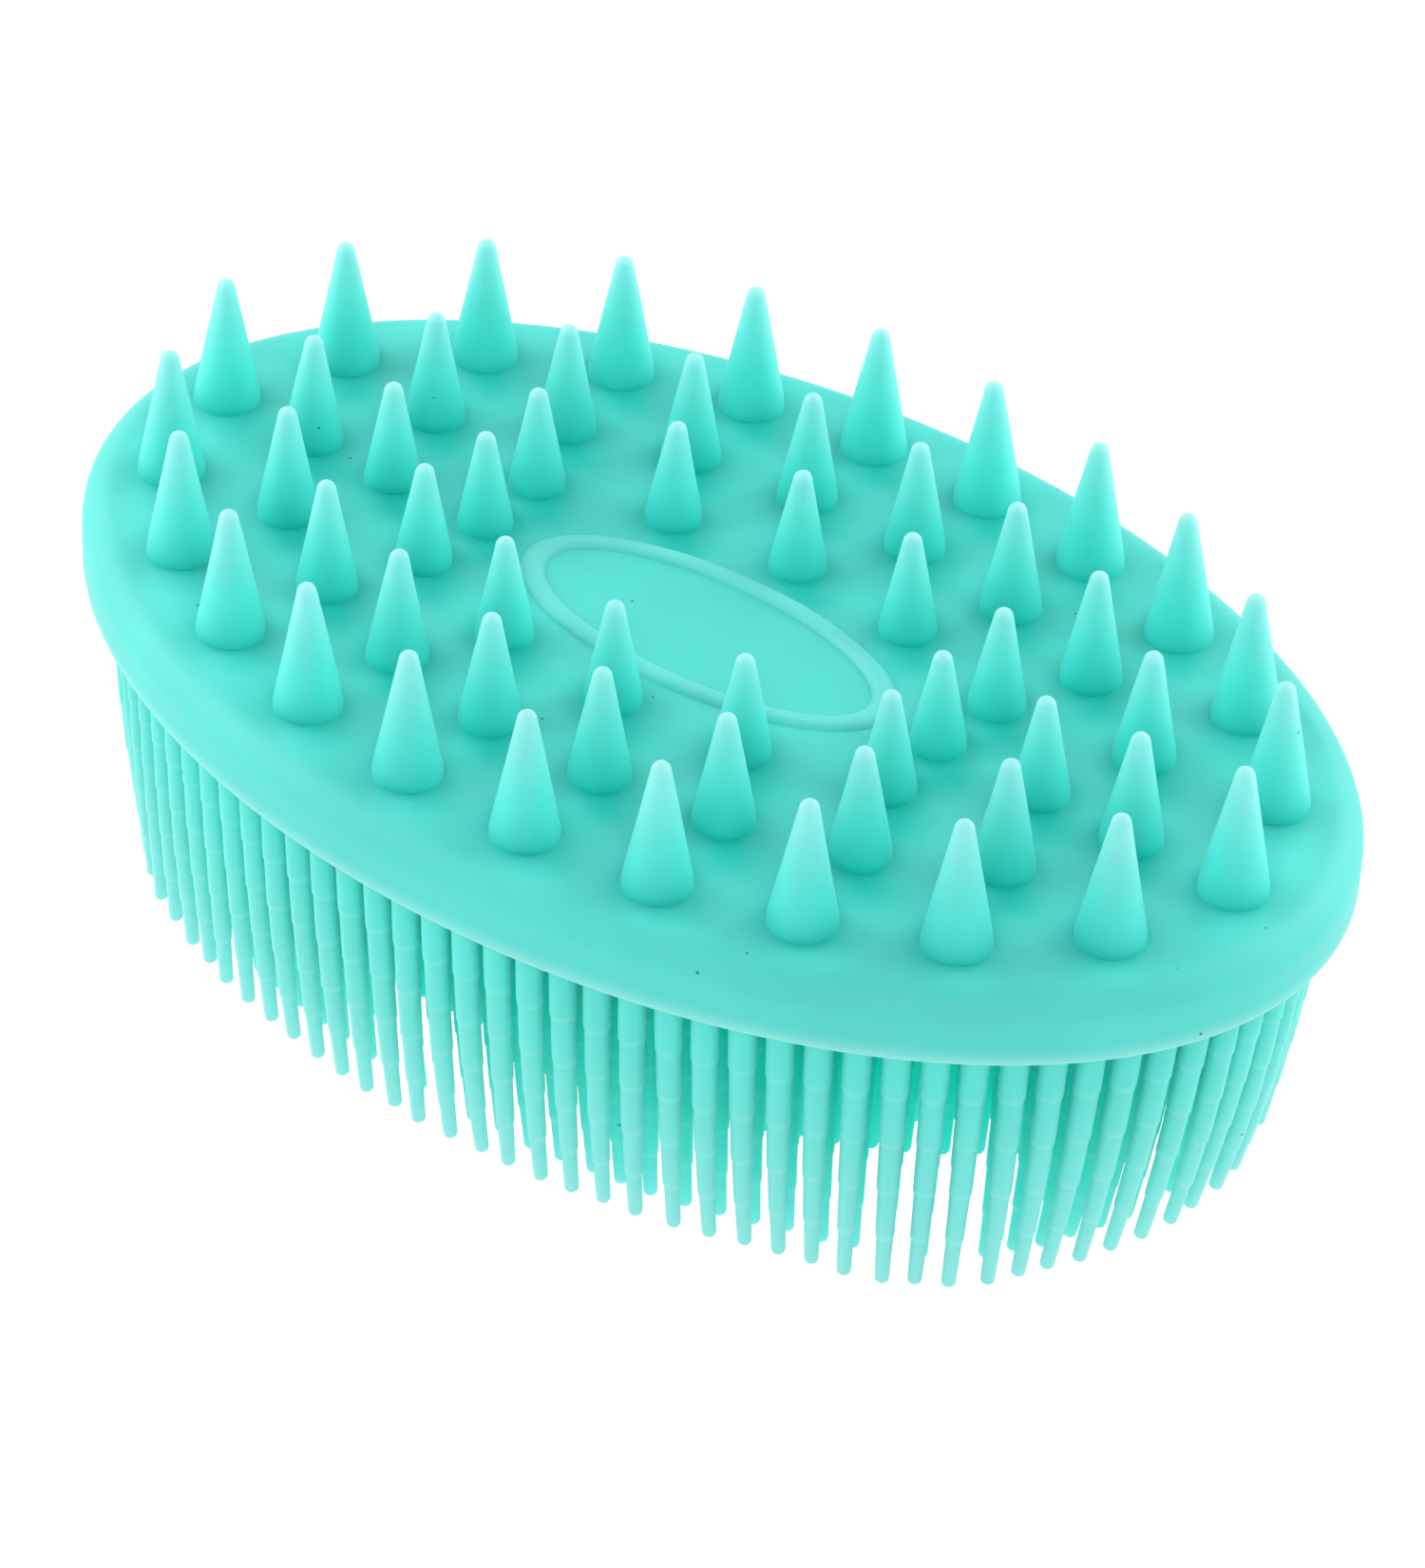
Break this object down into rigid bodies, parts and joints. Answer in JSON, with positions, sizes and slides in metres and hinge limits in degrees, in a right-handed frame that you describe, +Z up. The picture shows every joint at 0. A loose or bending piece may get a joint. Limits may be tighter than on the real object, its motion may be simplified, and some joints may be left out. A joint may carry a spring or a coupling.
{
  "type": "rubber curry brush",
  "caption": "Oval two-sided silicone curry brush for pets: tapered massage cones round a blank oval on top, rows of long soft bristles underneath.",
  "frame": {"origin": "under the middle of the pad, on the surface that the tips of the long bristles stand on", "axes": "+X along the pad's length, +Y across it, +Z up through the massage cones"},
  "size_m": [0.125, 0.08, 0.045],
  "materials": {
    "silicone": "soft satin turquoise silicone, slightly translucent"
  },
  "bodies": {
    "root": {"badge_bead": "silicone", "inner_bristle_field": "silicone", "inner_cone_01": "silicone", "inner_cone_02": "silicone", "outer_bristle_row": "silicone", "outer_cone_01": "silicone", "outer_cone_02": "silicone", "outer_cone_03": "silicone", "outer_cone_04": "silicone", "outer_cone_05": "silicone", "outer_cone_06": "silicone", "outer_cone_07": "silicone", "outer_cone_08": "silicone", "outer_cone_09": "silicone", "outer_cone_10": "silicone", "outer_cone_11": "silicone", "outer_cone_12": "silicone", "outer_cone_13": "silicone", "outer_cone_14": "silicone", "outer_cone_15": "silicone", "outer_cone_16": "silicone", "outer_cone_17": "silicone", "outer_cone_18": "silicone", "outer_cone_19": "silicone", "outer_cone_20": "silicone", "outer_cone_21": "silicone", "outer_cone_22": "silicone", "pad": "silicone", "second_bristle_row": "silicone", "second_cone_01": "silicone", "second_cone_02": "silicone", "second_cone_03": "silicone", "second_cone_04": "silicone", "second_cone_05": "silicone", "second_cone_06": "silicone", "second_cone_07": "silicone", "second_cone_08": "silicone", "second_cone_09": "silicone", "second_cone_10": "silicone", "second_cone_11": "silicone", "second_cone_12": "silicone", "second_cone_13": "silicone", "second_cone_14": "silicone", "second_cone_15": "silicone", "second_cone_16": "silicone", "second_cone_17": "silicone", "second_cone_18": "silicone", "third_bristle_row": "silicone", "third_cone_01": "silicone", "third_cone_02": "silicone", "third_cone_03": "silicone", "third_cone_04": "silicone", "third_cone_05": "silicone", "third_cone_06": "silicone", "third_cone_07": "silicone", "third_cone_08": "silicone", "third_cone_09": "silicone", "third_cone_10": "silicone", "third_cone_11": "silicone", "third_cone_12": "silicone"}
  },
  "joints": []
}
